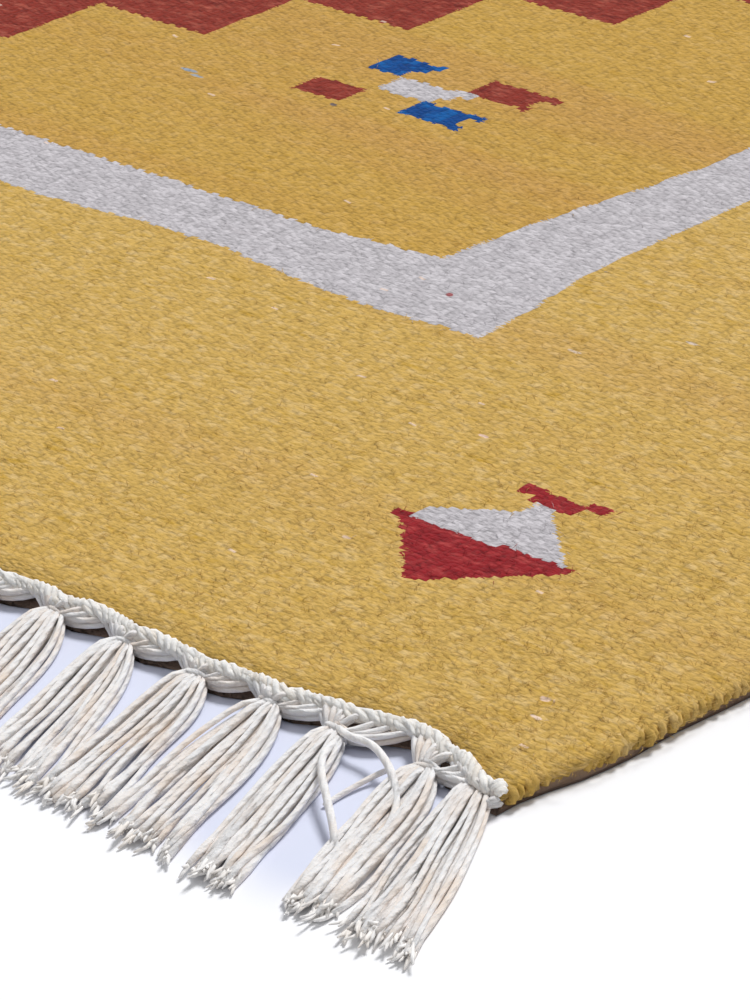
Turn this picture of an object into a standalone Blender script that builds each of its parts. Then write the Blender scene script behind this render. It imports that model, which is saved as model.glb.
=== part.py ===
"""A kilim rug: one flat wool cloth, with a twined strip and knotted cotton tassels at each end.

Metres, +Z up. X runs across the rug and Y along it. The origin is under the middle of the cloth,
on the surface that the rug lies on. The near end is the one at -Y, and its first tassel hangs at
the +X selvedge. The far end is the near one turned half round about Z.
"""

import math
import random
from typing import NamedTuple

import bmesh
import bpy
from mathutils import Vector

MM = 0.001

# Cloth
RUG_WIDTH = 0.900
RUG_LENGTH = 1.500
CLOTH_THICKNESS = 0.0045
EDGE_ROUND = 0.0012
SELVEDGE_PITCH = 0.025

# Twined strip that heads the fringe
PIECE_GAP = 0.0003
STRIP_WIDTH = 0.0040
STRIP_BOTTOM = 0.0018
STRIP_TOP = 0.0043
STRIP_FRONT_BOTTOM = 0.0021
STRIP_FRONT_TOP = 0.0039
STRIP_END_INSET = 0.0024

# Tassels
TASSEL_COUNT = 42
LOCKS_PER_TASSEL = 3
SLIT_WIDTH = 0.0004
ROOT_LOCK_WIDTH = 0.0014
NECK_WIDTH = 0.0044
LAST_TASSEL_INSET = 0.0105
USUAL_LEAN = 0.0245
USUAL_REACH = 0.0530
LEAN_JITTER = 0.0030
REACH_JITTER = 0.0022
ROOT_JITTER = 0.0012
LEAST_TIP_PITCH = 0.0157
TASSEL_SEED = 11


class EdgePoint(NamedTuple):
    """One point of an edge's line: its place along that edge, and how far inside the nominal line."""

    along_mm: float
    inside_mm: float


# The near end from the +X selvedge on: it pokes out at the corner, bows in beside it, then settles.
END_LINE = (
    EdgePoint(along_mm=5, inside_mm=-5.5),
    EdgePoint(along_mm=8, inside_mm=-2.6),
    EdgePoint(along_mm=14, inside_mm=-0.4),
    EdgePoint(along_mm=18, inside_mm=0.4),
    EdgePoint(along_mm=23, inside_mm=2.9),
    EdgePoint(along_mm=29, inside_mm=4.8),
    EdgePoint(along_mm=39, inside_mm=5.5),
    EdgePoint(along_mm=51, inside_mm=3.6),
    EdgePoint(along_mm=66, inside_mm=0.6),
    EdgePoint(along_mm=96, inside_mm=-0.8),
    EdgePoint(along_mm=128, inside_mm=0.8),
    EdgePoint(along_mm=159, inside_mm=-0.7),
    EdgePoint(along_mm=260, inside_mm=0.5),
    EdgePoint(along_mm=430, inside_mm=-0.9),
    EdgePoint(along_mm=610, inside_mm=0.7),
    EdgePoint(along_mm=760, inside_mm=-0.8),
    EdgePoint(along_mm=880, inside_mm=0.3),
    EdgePoint(along_mm=900, inside_mm=-1.5),
)

# The +X selvedge from the near end on: it draws in at the corner.
SELVEDGE_LINE = (
    EdgePoint(along_mm=0, inside_mm=5.0),
    EdgePoint(along_mm=9, inside_mm=5.6),
    EdgePoint(along_mm=18, inside_mm=3.2),
    EdgePoint(along_mm=30, inside_mm=2.1),
    EdgePoint(along_mm=43, inside_mm=2.8),
    EdgePoint(along_mm=58, inside_mm=1.5),
    EdgePoint(along_mm=100, inside_mm=0.3),
    EdgePoint(along_mm=1500, inside_mm=0.0),
)


class SelvedgeWave(NamedTuple):
    """One wave of the selvedge: half waves along the rug, and height."""

    half_waves: int
    height_mm: float


SELVEDGE_WAVES = (
    SelvedgeWave(half_waves=5, height_mm=0.9),
    SelvedgeWave(half_waves=14, height_mm=0.7),
    SelvedgeWave(half_waves=31, height_mm=0.5),
)


class Tassel(NamedTuple):
    """A tassel's root and tips: distances from the +X selvedge, and how far the tips reach out."""

    root_mm: float
    tip_mm: float
    reach_mm: float


# The tassels beside the corner, which lean and crowd in their own ways. The rest follow a rule.
CORNER_TASSELS = (
    Tassel(root_mm=11, tip_mm=-11, reach_mm=53),
    Tassel(root_mm=28, tip_mm=8, reach_mm=53),
    Tassel(root_mm=50, tip_mm=31, reach_mm=56),
    Tassel(root_mm=70, tip_mm=53, reach_mm=55),
    Tassel(root_mm=91, tip_mm=75, reach_mm=54),
    Tassel(root_mm=114, tip_mm=93, reach_mm=53),
    Tassel(root_mm=136, tip_mm=116, reach_mm=51),
)


class TasselSection(NamedTuple):
    """A cut through a tassel: part of the way to the tips, lock width, lock spacing and height."""

    part_way: float
    lock_mm: float
    spacing_mm: float
    top_mm: float


LOCK_SECTIONS = (
    TasselSection(part_way=0.34, lock_mm=3.7, spacing_mm=4.5, top_mm=3.6),
    TasselSection(part_way=0.68, lock_mm=4.0, spacing_mm=5.1, top_mm=3.0),
    TasselSection(part_way=1.00, lock_mm=3.6, spacing_mm=5.1, top_mm=2.0),
)


class KnotSection(NamedTuple):
    """A cut through the neck or the knot: how far out from the strip, width, bottom and top."""

    out_mm: float
    width_mm: float
    bottom_mm: float
    top_mm: float


KNOT_SECTIONS = (
    KnotSection(out_mm=1.6, width_mm=5.6, bottom_mm=0.0, top_mm=4.3),
    KnotSection(out_mm=4.4, width_mm=5.0, bottom_mm=0.0, top_mm=4.1),
)


def interpolate(value, points):
    """Read a piecewise straight line, given as (place, height) pairs in order, at one place."""
    for (start, low), (end, high) in zip(points, points[1:]):
        if value <= end:
            return low + (high - low) * (value - start) / (end - start)
    return points[-1][1]


def near_end(across):
    """Return y of the cloth's near end, this far from the +X selvedge."""
    return -RUG_LENGTH / 2 + interpolate(across / MM, END_LINE) * MM


def selvedge(along):
    """Return x of the +X selvedge, this far from the near end."""
    turn = math.pi * along / RUG_LENGTH
    waves = sum(wave.height_mm * math.sin(wave.half_waves * turn) for wave in SELVEDGE_WAVES)
    return RUG_WIDTH / 2 + (waves - interpolate(along / MM, SELVEDGE_LINE)) * MM


def plan_tassels():
    """Return all the tassels of one end, from the +X selvedge on."""
    rng = random.Random(TASSEL_SEED)
    tassels = list(CORNER_TASSELS)
    first_root = tassels[-1].root_mm * MM
    remaining = TASSEL_COUNT - len(tassels)
    pitch = (RUG_WIDTH - LAST_TASSEL_INSET - first_root) / remaining
    for index in range(1, remaining + 1):
        root = first_root + pitch * index
        if index < remaining:
            root += rng.uniform(-ROOT_JITTER, ROOT_JITTER)
        tip = root - USUAL_LEAN + rng.uniform(-LEAN_JITTER, LEAN_JITTER)
        tip = max(tip, tassels[-1].tip_mm * MM + LEAST_TIP_PITCH)
        reach = USUAL_REACH + rng.uniform(-REACH_JITTER, REACH_JITTER)
        tassels.append(Tassel(root / MM, tip / MM, reach / MM))
    return tassels


def end_stations(tassels):
    """Return the places along the near end where its line has a point, and the tassels' own ones.

    They are the corners, the strip's ends, both sides of each neck and the middle of each gap. The
    second list holds, for each stretch of the strip, the tassel that hangs on it or None.
    """
    corner = RUG_WIDTH / 2 - selvedge(0)
    stations = [corner, corner + STRIP_END_INSET]
    hung = []
    for tassel, following in zip(tassels, tassels[1:] + [None]):
        root = tassel.root_mm * MM
        stations += [root - NECK_WIDTH / 2, root + NECK_WIDTH / 2]
        hung += [None, tassel]
        if following:
            stations.append((tassel.root_mm + following.root_mm) / 2 * MM)
            hung.append(None)
    return stations + [RUG_WIDTH - STRIP_END_INSET, RUG_WIDTH], hung + [None]


def selvedge_stations():
    """Return the places along the +X selvedge where its line has a point, without its ends."""
    near_corner = [point.along_mm * MM for point in SELVEDGE_LINE[1:-1]]
    steps = int((RUG_LENGTH - near_corner[-1]) / SELVEDGE_PITCH)
    return near_corner + [near_corner[-1] + SELVEDGE_PITCH * step for step in range(1, steps)]


def cloth_outline(stations):
    """Return the cloth's outline, anticlockwise, as pairs of a point and its inward direction."""
    half = []
    for across in reversed(stations):
        inward_x = {stations[0]: -1, stations[-1]: 1}.get(across, 0)
        place = Vector((RUG_WIDTH / 2 - across, near_end(across), 0))
        half.append((place, Vector((inward_x, 1, 0))))
    for along in selvedge_stations():
        place = Vector((selvedge(along), along - RUG_LENGTH / 2, 0))
        half.append((place, Vector((-1, 0, 0))))
    return half + [(-place, -inward) for place, inward in half]


def new_object(name, mesh, material):
    """Link a new object that shows this mesh in this material."""
    if not mesh.materials:
        mesh.materials.append(material)
    obj = bpy.data.objects.new(name, mesh)
    bpy.context.scene.collection.objects.link(obj)
    return obj


def new_material(name, colour, roughness):
    """Return a matt fibre material of one colour."""
    material = bpy.data.materials.new(name)
    material.use_nodes = True
    shader = material.node_tree.nodes["Principled BSDF"]
    shader.inputs["Base Color"].default_value = (*colour, 1)
    shader.inputs["Roughness"].default_value = roughness
    shader.inputs["Metallic"].default_value = 0
    material.diffuse_color = (*colour, 1)
    return material


def cover_face(bm, ring, stations_count):
    """Fill one flat side of the cloth: a face at each end, round its drawn-in corner, and rungs between."""
    half = len(ring) // 2
    corner_count = len(SELVEDGE_LINE) - 2
    near_end_face = ring[: stations_count + corner_count] + ring[-1:]
    far_end_face = ring[half : half + stations_count + corner_count] + ring[half - 1 : half]
    bm.faces.new(near_end_face)
    bm.faces.new(far_end_face)
    right = ring[stations_count + corner_count - 1 : half]
    left = ring[half + stations_count + corner_count - 1 :]
    left.reverse()
    for left_near, right_near, right_far, left_far in zip(left, right, right[1:], left[1:]):
        bm.faces.new((left_near, right_near, right_far, left_far))


def make_cloth(stations):
    """Build the cloth: a flat sheet whose edges are rounded by two narrow bevels."""
    outline = cloth_outline(stations)
    levels = (
        (0.0, EDGE_ROUND),
        (EDGE_ROUND, 0.0),
        (CLOTH_THICKNESS - EDGE_ROUND, 0.0),
        (CLOTH_THICKNESS, EDGE_ROUND),
    )
    bm = bmesh.new()
    rings = []
    for height, inset in levels:
        lift = Vector((0, 0, height))
        rings.append([bm.verts.new(place + inward * inset + lift) for place, inward in outline])
    for lower, upper in zip(rings, rings[1:]):
        for index in range(len(outline)):
            following = (index + 1) % len(outline)
            bm.faces.new((lower[index], lower[following], upper[following], upper[index]))
    cover_face(bm, rings[0], len(stations))
    cover_face(bm, rings[-1], len(stations))
    bmesh.ops.recalc_face_normals(bm, faces=bm.faces)
    bmesh.ops.triangulate(bm, faces=bm.faces)
    mesh = bpy.data.meshes.new("rug_cloth")
    bm.to_mesh(mesh)
    bm.free()
    wool = new_material("wool_flatweave", (0.62, 0.38, 0.08), 0.95)
    return new_object("rug_cloth", mesh, wool)


def draw_out(bm, face, corners):
    """Extrude one upright four-sided face, move its corners to these places and return it."""
    drawn = bmesh.ops.extrude_discrete_faces(bm, faces=[face])["faces"][0]
    for vert, corner in zip(face_corners(drawn), corners):
        vert.co = corner
    return drawn


def section_corners(across, y, width, bottom, top):
    """Return the corners of an upright cut that faces -Y, in the order that the strip's front has."""
    left = RUG_WIDTH / 2 - across - width / 2
    right = left + width
    return (
        Vector((left, y, bottom)),
        Vector((right, y, bottom)),
        Vector((right, y, top)),
        Vector((left, y, top)),
    )


def face_corners(face):
    """Return an upright four-sided face's corners in the order that section_corners gives."""
    by_height = sorted(face.verts, key=lambda vert: vert.co.z)
    left_bottom, right_bottom = sorted(by_height[:2], key=lambda vert: vert.co.x)
    left_top, right_top = sorted(by_height[2:], key=lambda vert: vert.co.x)
    return left_bottom, right_bottom, right_top, left_top


def split_across(face, widths):
    """Split an upright four-sided face into upright strips of these widths, from its left on."""
    left_bottom, right_bottom, right_top, left_top = face_corners(face)
    total = sum(widths)
    cuts = []
    for low, high in ((left_bottom, right_bottom), (left_top, right_top)):
        start, end = low.co.copy(), high.co.copy()
        here, done, made = low, 0.0, []
        for width in widths[:-1]:
            done += width
            edge = next(edge for edge in here.link_edges if edge.other_vert(here) is high)
            _, here = bmesh.utils.edge_split(edge, here, 0.5)
            here.co = start.lerp(end, done / total)
            made.append(here)
        cuts.append(made)
    strips = []
    for bottom, top in zip(*cuts):
        halves = (face, bmesh.utils.face_split(face, bottom, top)[0])
        piece, face = sorted(halves, key=lambda half: half.calc_center_median().x)
        strips.append(piece)
    return strips + [face]


def make_locks(bm, knot_face, tassel, knot_y):
    """Draw a tassel's locks out of the front of its knot, spreading to their tips on the floor."""
    slit_and_lock = [SLIT_WIDTH, ROOT_LOCK_WIDTH] * (LOCKS_PER_TASSEL - 1)
    roots = split_across(knot_face, [ROOT_LOCK_WIDTH] + slit_and_lock)[::2]
    tip_y = -RUG_LENGTH / 2 - tassel.reach_mm * MM
    middle = (LOCKS_PER_TASSEL - 1) / 2
    for index, face in enumerate(roots):
        for section in LOCK_SECTIONS:
            y = knot_y + (tip_y - knot_y) * section.part_way
            spine = tassel.root_mm + (tassel.tip_mm - tassel.root_mm) * section.part_way
            across = (spine + (middle - index) * section.spacing_mm) * MM
            corners = section_corners(across, y, section.lock_mm * MM, 0.0, section.top_mm * MM)
            face = draw_out(bm, face, corners)


def make_tassel(bm, face, tassel):
    """Draw one tassel out of its face of the strip's front: neck, knot and locks."""
    front = near_end(tassel.root_mm * MM) - PIECE_GAP - STRIP_WIDTH
    y = front
    for section in KNOT_SECTIONS:
        y = front - section.out_mm * MM
        corners = section_corners(
            tassel.root_mm * MM,
            y,
            section.width_mm * MM,
            section.bottom_mm * MM,
            section.top_mm * MM,
        )
        face = draw_out(bm, face, corners)
    make_locks(bm, face, tassel, y)


def strip_section(bm, across):
    """Add one cut through the strip, this far from the +X selvedge, from its back bottom round."""
    x = RUG_WIDTH / 2 - across
    back = near_end(across) - PIECE_GAP
    front = back - STRIP_WIDTH
    places = (
        (x, back, STRIP_BOTTOM),
        (x, front, STRIP_FRONT_BOTTOM),
        (x, front, STRIP_FRONT_TOP),
        (x, back, STRIP_TOP),
    )
    return [bm.verts.new(place) for place in places]


def make_strip(bm, stations):
    """Build the strip along the end line and return its front faces, one for each stretch."""
    sections = [strip_section(bm, across) for across in stations]
    fronts = []
    for here, following in zip(sections, sections[1:]):
        for corner in range(4):
            after = (corner + 1) % 4
            face = bm.faces.new((here[corner], here[after], following[after], following[corner]))
            if corner == 1:
                fronts.append(face)
    bm.faces.new(sections[0])
    bm.faces.new(sections[-1])
    bmesh.ops.recalc_face_normals(bm, faces=bm.faces)
    return fronts


def make_fringe(stations, hung):
    """Build the near fringe: its strip, and the tassel that hangs on each stretch that has one."""
    bm = bmesh.new()
    fronts = make_strip(bm, stations[1:-1])
    for face, tassel in zip(fronts, hung):
        if tassel:
            make_tassel(bm, face, tassel)
    bmesh.ops.triangulate(bm, faces=bm.faces)
    mesh = bpy.data.meshes.new("fringe")
    bm.to_mesh(mesh)
    bm.free()
    cotton = new_material("cotton_fringe", (0.72, 0.68, 0.62), 0.9)
    return new_object("fringe_near", mesh, cotton)


def clear_scene():
    """Remove every object that the scene starts with."""
    for obj in list(bpy.data.objects):
        bpy.data.objects.remove(obj, do_unlink=True)


def main():
    """Build the cloth and both fringes."""
    clear_scene()
    stations, hung = end_stations(plan_tassels())
    make_cloth(stations)
    near = make_fringe(stations, hung)
    far = new_object("fringe_far", near.data, near.data.materials[0])
    far.rotation_euler.z = math.pi


main()
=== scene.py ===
"""The looks of a kilim rug: weft-faced wool with small figures, twined headings and plied cotton tassels.

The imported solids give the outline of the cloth, the line of each heading and the place of each
tassel. The pieces built here follow them: a woven sheet, the wefts that turn round its selvedges,
the headings, the tassels' yarns with their frayed ends, and loose fibre that stands off the wool.
Lengths are in millimetres until a mesh is made, and in metres from there on.
"""

import logging
import math
from dataclasses import dataclass, field
from enum import Enum

import bpy
import numpy as np
from mathutils import Matrix, Vector


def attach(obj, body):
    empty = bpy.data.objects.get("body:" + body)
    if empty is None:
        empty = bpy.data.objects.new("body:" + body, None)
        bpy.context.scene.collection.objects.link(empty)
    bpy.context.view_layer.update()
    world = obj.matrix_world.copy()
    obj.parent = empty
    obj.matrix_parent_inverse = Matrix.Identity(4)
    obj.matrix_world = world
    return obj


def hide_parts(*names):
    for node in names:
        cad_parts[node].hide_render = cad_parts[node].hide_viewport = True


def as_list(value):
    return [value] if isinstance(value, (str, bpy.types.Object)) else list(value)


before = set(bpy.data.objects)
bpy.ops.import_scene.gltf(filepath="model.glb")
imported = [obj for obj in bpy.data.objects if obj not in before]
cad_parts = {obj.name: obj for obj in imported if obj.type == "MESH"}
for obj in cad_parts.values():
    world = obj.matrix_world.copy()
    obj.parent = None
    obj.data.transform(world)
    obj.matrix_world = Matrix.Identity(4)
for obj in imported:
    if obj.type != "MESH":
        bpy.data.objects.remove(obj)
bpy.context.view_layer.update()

MM = 0.001
ROOT = "root"
TURN = 2 * math.pi

log = logging.getLogger("kilim")

Colour = tuple[float, float, float, float]
Box = tuple[float, float, float, float]


def srgb(red: int, green: int, blue: int) -> Colour:
    """Turn a colour given as it looks, 0 to 255, into the linear values that a shader takes.

    Args:
        red: The red part.
        green: The green part.
        blue: The blue part.

    Returns:
        The linear colour, with an alpha of 1.
    """
    parts = (value / 255 for value in (red, green, blue))
    linear = (part / 12.92 if part <= 0.04045 else ((part + 0.055) / 1.055) ** 2.4 for part in parts)
    return (*linear, 1.0)


class End(Enum):
    """The rug's two ends. The far one is the near one turned half round."""

    NEAR = 1.0
    FAR = -1.0

    @property
    def word(self) -> str:
        """The end's name as pieces and nodes write it."""
        return self.name.lower()


class Side(Enum):
    """The rug's two selvedges. The left one is the right one turned half round."""

    RIGHT = 1.0
    LEFT = -1.0

    @property
    def word(self) -> str:
        """The side's name as pieces write it."""
        return self.name.lower()


class Signal:
    """One output of a shader graph. Arithmetic on it adds Math nodes."""

    def __init__(self, graph: "Graph", socket: bpy.types.NodeSocket) -> None:
        """Wrap a socket of that graph."""
        self.graph = graph
        self.socket = socket

    def __add__(self, other: "Signal | float") -> "Signal":
        """Add a signal or a number."""
        return self.graph.math("ADD", self, other)

    __radd__ = __add__

    def __sub__(self, other: "Signal | float") -> "Signal":
        """Take away a signal or a number."""
        return self.graph.math("SUBTRACT", self, other)

    def __rsub__(self, other: float) -> "Signal":
        """Take this from a number."""
        return self.graph.math("SUBTRACT", other, self)

    def __mul__(self, other: "Signal | float") -> "Signal":
        """Multiply by a signal or a number."""
        return self.graph.math("MULTIPLY", self, other)

    __rmul__ = __mul__

    def __truediv__(self, other: "Signal | float") -> "Signal":
        """Divide by a signal or a number."""
        return self.graph.math("DIVIDE", self, other)

    def __pow__(self, power: float) -> "Signal":
        """Raise to a power."""
        return self.graph.math("POWER", self, power)

    def __lt__(self, other: "Signal | float") -> "Signal":
        """Return 1 where this is less, and 0 elsewhere."""
        return self.graph.math("LESS_THAN", self, other)

    def __gt__(self, other: "Signal | float") -> "Signal":
        """Return 1 where this is greater, and 0 elsewhere."""
        return self.graph.math("GREATER_THAN", self, other)

    def __and__(self, other: "Signal") -> "Signal":
        """Return where both masks are 1."""
        return self.graph.math("MULTIPLY", self, other)

    def __or__(self, other: "Signal") -> "Signal":
        """Return where either mask is 1."""
        return self.graph.math("MAXIMUM", self, other)

    def __abs__(self) -> "Signal":
        """Drop the sign."""
        return self.graph.math("ABSOLUTE", self)

    def floor(self) -> "Signal":
        """Round down."""
        return self.graph.math("FLOOR", self)

    def ceil(self) -> "Signal":
        """Round up."""
        return self.graph.math("CEIL", self)

    def fraction(self) -> "Signal":
        """Keep what is above the whole number below."""
        return self.graph.math("FRACT", self)

    def sine(self) -> "Signal":
        """Take the sine, in radians."""
        return self.graph.math("SINE", self)

    def most(self, other: "Signal | float") -> "Signal":
        """Keep the greater of the two."""
        return self.graph.math("MAXIMUM", self, other)

    def ramp(self, low: float, high: float) -> "Signal":
        """Rise smoothly from 0 at low to 1 at high.

        Args:
            low: Where it leaves 0.
            high: Where it reaches 1.

        Returns:
            The smoothed value, kept from 0 to 1.
        """
        settings = {"interpolation_type": "SMOOTHSTEP"}
        return self.graph.node("ShaderNodeMapRange", settings, {0: self, 1: low, 2: high})

    def centred(self, middle: float, pitch: float) -> "Signal":
        """Fold a place into one repeat.

        Args:
            middle: The middle of any one repeat.
            pitch: The distance between repeats.

        Returns:
            The distance from the middle of the nearest repeat.
        """
        return ((self - (middle - pitch / 2)) / pitch).fraction() * pitch - pitch / 2

    def between(self, low: float, high: float) -> "Signal":
        """Return 1 between two numbers, and 0 elsewhere."""
        return abs(self - (low + high) / 2) < (high - low) / 2


class Graph:
    """The node tree of one material."""

    def __init__(self, name: str) -> None:
        """Start an empty tree in a new material of that name."""
        self.material = bpy.data.materials.new(name)
        self.material.use_nodes = True
        self.tree = self.material.node_tree
        self.tree.nodes.clear()

    def node(self, kind: str, settings: dict, sockets: dict, output: int = 0) -> Signal:
        """Add a node.

        Args:
            kind: The node's type.
            settings: Its own settings, such as an operation, which are set first.
            sockets: The value or the signal of each input, by name or number.
            output: The output that is wanted.

        Returns:
            That output.
        """
        made = self.tree.nodes.new(kind)
        for key, value in settings.items():
            setattr(made, key, value)
        for key, value in sockets.items():
            if isinstance(value, Signal):
                self.tree.links.new(value.socket, made.inputs[key])
            else:
                made.inputs[key].default_value = value
        return Signal(self, made.outputs[output] if len(made.outputs) else None)

    def math(self, operation: str, *values: Signal | float) -> Signal:
        """Add a Math node on these values."""
        return self.node("ShaderNodeMath", {"operation": operation}, dict(enumerate(values)))

    def mix(self, factor: Signal | float, low: Signal | Colour, high: Signal | Colour) -> Signal:
        """Mix two colours.

        Args:
            factor: 0 for the first colour and 1 for the second.
            low: The first colour.
            high: The second colour.

        Returns:
            The mixed colour.
        """
        return self.node("ShaderNodeMix", {"data_type": "RGBA"}, {0: factor, 6: low, 7: high}, 2)

    def shade(self, colour: Signal, light: Signal) -> Signal:
        """Multiply a colour by a number.

        Args:
            colour: The colour.
            light: The number.

        Returns:
            The lighter or darker colour.
        """
        return self.node("ShaderNodeVectorMath", {"operation": "SCALE"}, {0: colour, 3: light})

    def layer(self, name: str) -> tuple[Signal, Signal]:
        """Read the two coordinates of a UV layer.

        Args:
            name: The layer's name.

        Returns:
            Both coordinates.
        """
        read = self.node("ShaderNodeUVMap", {"uv_map": name}, {})
        first = self.node("ShaderNodeSeparateXYZ", {}, {0: read})
        second = Signal(self, first.socket.node.outputs[1])
        return first, second

    def place(self, x: Signal | float, y: Signal | float, z: Signal | float = 0.0) -> Signal:
        """Join three numbers into a vector."""
        return self.node("ShaderNodeCombineXYZ", {}, {0: x, 1: y, 2: z})

    def noise(self, place: Signal, scale: float, detail: float = 2.0, rough: float = 0.5) -> Signal:
        """Add smooth noise.

        Args:
            place: Where it is read.
            scale: Its lumps for each unit of place.
            detail: How many finer layers it has.
            rough: How strong those are.

        Returns:
            The noise, around 0.5.
        """
        sockets = {"Vector": place, "Scale": scale, "Detail": detail, "Roughness": rough}
        return self.node("ShaderNodeTexNoise", {"noise_dimensions": "3D"}, sockets)

    def chance(self, place: Signal) -> Signal:
        """Return an even random number from 0 to 1 for each place."""
        return self.node("ShaderNodeTexWhiteNoise", {"noise_dimensions": "3D"}, {"Vector": place})

    def finish(self, colour: Signal, height: Signal, relief: float, fixed: dict) -> bpy.types.Material:
        """End the tree in a principled surface.

        Args:
            colour: The surface's colour.
            height: Its relief, from 0 to 1.
            relief: How deep the relief is, in millimetres, or 0 for none.
            fixed: The values of the other inputs.

        Returns:
            The finished material.
        """
        sockets = {"Base Color": colour} | fixed
        if relief:
            bump = {"Strength": 1.0, "Distance": relief * MM, "Height": height}
            sockets["Normal"] = self.node("ShaderNodeBump", {}, bump)
        surface = self.node("ShaderNodeBsdfPrincipled", {}, sockets)
        self.node("ShaderNodeOutputMaterial", {}, {"Surface": surface})
        return self.material


CLOTH_LAYER = "cloth"
THREAD_LAYER = "thread"


@dataclass(frozen=True)
class Dye:
    """One colour of wool, with the paler and deeper fibres that are spun into it."""

    plain: Colour
    pale: Colour
    deep: Colour


@dataclass(frozen=True)
class KilimDesign:
    """The woven figures, in millimetres from the nearer selvedge (u) and the nearer end (v)."""

    half_width: float = 450.0
    half_length: float = 750.0
    rib_pitch: float = 2.35
    beat_pitch: float = 1.9
    yellow: Dye = Dye(srgb(202, 165, 87), srgb(205, 174, 114), srgb(188, 148, 52))
    grey: Dye = Dye(srgb(189, 184, 187), srgb(195, 190, 193), srgb(180, 174, 177))
    brick: Dye = Dye(srgb(136, 48, 36), srgb(166, 82, 66), srgb(108, 26, 22))
    ruby: Dye = Dye(srgb(144, 30, 36), srgb(176, 66, 64), srgb(112, 14, 26))
    blue: Dye = Dye(srgb(0, 68, 136), srgb(4, 86, 154), srgb(0, 48, 108))
    band_out: tuple[float, float] = (171.0, 144.3)
    band_in: tuple[float, float] = (199.0, 168.0)
    medallion_edge: float = 210.7
    medallion_step: tuple[float, float] = (43.5, 33.3)
    medallion_first: float = 413.0
    medallion_last: float = 239.0
    band_waves: tuple[tuple[float, float, float], ...] = ((126.5, 190.0, 5.6), (233.0, 118.0, 1.8))
    band_bay: tuple[float, float, float] = (250.0, 200.0, 4.9)
    band_swell: tuple[float, float, float] = (200.0, 144.0, 7.0)
    diamond_first: tuple[float, float] = (84.8, 70.9)
    diamond_pitch: tuple[float, float] = (242.7, 271.2)
    diamond_foot: float = -23.4
    diamond_neck: tuple[float, float, float] = (1.4, 3.0, 18.7)
    diamond_boxes: tuple[Box, ...] = (
        (-5.6, 8.0, 18.5, 23.6), (6.8, 12.8, 20.6, 24.7), (-11.8, -5.0, 22.7, 25.7),
        (22.0, 27.4, -3.4, -0.3),
    )
    red_boxes: tuple[Box, ...] = (
        (301.2, 319.5, 229.3, 239.0), (258.3, 277.7, 252.0, 262.3), (252.9, 258.9, 259.3, 262.7),
        (256.3, 259.9, 250.9, 253.5),
    )
    blue_boxes: tuple[Box, ...] = (
        (301.1, 314.1, 251.0, 261.5), (296.9, 301.9, 255.7, 261.1), (294.7, 297.9, 259.3, 262.3),
        (264.5, 282.5, 232.3, 241.9), (260.5, 265.3, 239.4, 242.5), (261.1, 265.3, 231.5, 234.9),
    )
    white_boxes: tuple[Box, ...] = (
        (280.9, 300.5, 241.4, 250.9), (274.1, 281.9, 248.9, 252.3), (277.5, 281.9, 245.5, 249.5),
    )
    flecks: tuple[tuple[float, float, float, float, Colour], ...] = (
        (352.6, 223.4, 3.4, 0.8, srgb(128, 152, 176)), (347.6, 221.6, 2.6, 0.7, srgb(150, 166, 180)),
        (187.6, 158.6, 1.1, 1.0, srgb(158, 58, 60)), (300.8, 226.9, 1.3, 0.8, srgb(86, 84, 96)),
        (123.5, 107.0, 1.6, 0.6, srgb(222, 190, 176)), (109.8, 53.5, 1.3, 0.6, srgb(206, 178, 158)),
        (140.4, 152.1, 2.2, 0.6, srgb(212, 192, 172)), (122.0, 171.0, 2.0, 0.6, srgb(214, 196, 180)),
        (24.5, 27.0, 1.4, 0.9, srgb(226, 196, 176)), (20.5, 20.5, 1.7, 0.6, srgb(232, 206, 190)),
    )

    def cells(self, graph: Graph, x: Signal, y: Signal) -> tuple[Signal, Signal, Signal, Signal]:
        """Divide the cloth into the short floats of weft that show on it, laid like bricks.

        Args:
            graph: The material's graph.
            x: The place across the rug.
            y: The place along the rug.

        Returns:
            The middle of the float, x and y, and the place within it, each from 0 to 1.
        """
        across = x / self.rib_pitch
        rib = across.floor()
        odd = (rib * 0.5).fraction()
        along = y / self.beat_pitch + odd
        beat = along.floor()
        middle_x = (rib + 0.5) * self.rib_pitch
        middle_y = (beat + 0.5 - odd) * self.beat_pitch
        return middle_x, middle_y, across - rib, along - beat

    def dyed(self, graph: Graph, dye: Dye, heather: Signal, tone: Signal) -> Signal:
        """Give a dye its mix of paler and deeper fibres."""
        pale = graph.mix(heather.ramp(0.45, 0.75), dye.plain, dye.pale)
        return graph.mix(tone.ramp(0.52, 0.8), pale, dye.deep)

    def diamonds(self, u: Signal, v: Signal) -> tuple[Signal, Signal]:
        """Draw the small diamonds of the border, each a red half and a white half under a hooked cap.

        Args:
            u: The distance from the nearer selvedge.
            v: The distance from the nearer end.

        Returns:
            Where they are red, and where they are white.
        """
        du = u.centred(self.diamond_first[0], self.diamond_pitch[0])
        dv = v.centred(self.diamond_first[1], self.diamond_pitch[1])
        seam = (du > -4.0) * -1.7 - 0.3
        red = (abs(du) < (dv + 22.5) * 1.1 + 2.4) & (dv > self.diamond_foot) & (dv < seam)
        red = red | self.boxed(du, dv, self.diamond_boxes)
        half = (du < (27.5 - dv * 1.66)) & (du > (dv * 1.3 - 22.7)) & (du < 22.2)
        neck_middle, neck_half, neck_top = self.diamond_neck
        white = (half | (abs(du - neck_middle) < neck_half)) & (dv > seam) & (dv < neck_top)
        return red, white

    def boxed(self, u: Signal, v: Signal, boxes: tuple[Box, ...]) -> Signal:
        """Return 1 inside any of some boxes, each given by its least and greatest u and v."""
        masks = [u.between(left, right) & v.between(near, far) for left, right, near, far in boxes]
        inside = masks[0]
        for mask in masks[1:]:
            inside = inside | mask
        return inside

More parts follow.
